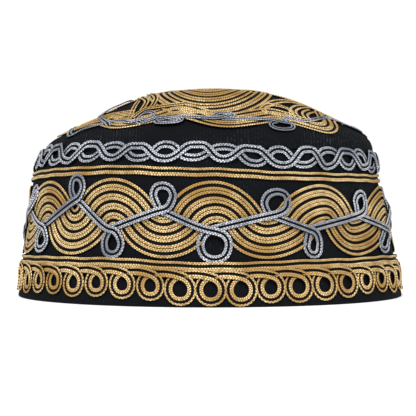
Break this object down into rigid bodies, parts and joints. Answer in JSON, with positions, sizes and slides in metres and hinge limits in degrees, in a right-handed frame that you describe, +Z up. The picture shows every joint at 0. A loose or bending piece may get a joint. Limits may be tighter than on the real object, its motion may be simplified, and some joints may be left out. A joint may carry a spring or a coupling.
{
  "type": "prayer cap",
  "caption": "Round prayer cap: tapered ribbed cloth band and soft domed crown, laid with sewn braid in loops, waves, vine and plait.",
  "frame": {"origin": "middle of the rim's circle, on the surface that the rim rests on", "axes": "+Z up from the rim to the crown, +X along the cap's longer width, -Y the side seen in the picture"},
  "size_m": [0.1934, 0.1796, 0.1014],
  "materials": {
    "black_cloth": "matt, finely ribbed cloth",
    "gold_braid": "soft sheen, herringbone braid",
    "silver_braid": "soft sheen, herringbone braid"
  },
  "bodies": {
    "root": {"side_band": "black_cloth", "crown": "black_cloth", "rim_loops": "gold_braid", "rim_line": "gold_braid", "wave_braids": "gold_braid", "band_vine": "silver_braid", "top_line": "gold_braid", "plait_strand_a": "silver_braid", "plait_strand_b": "silver_braid", "crown_waves": "gold_braid", "crown_vine": "silver_braid", "crown_petals": "gold_braid", "crown_eye_1": "gold_braid", "crown_eye_2": "gold_braid", "crown_eye_3": "gold_braid", "crown_eye_4": "gold_braid", "crown_eye_5": "gold_braid", "crown_knot": "gold_braid"}
  },
  "joints": []
}
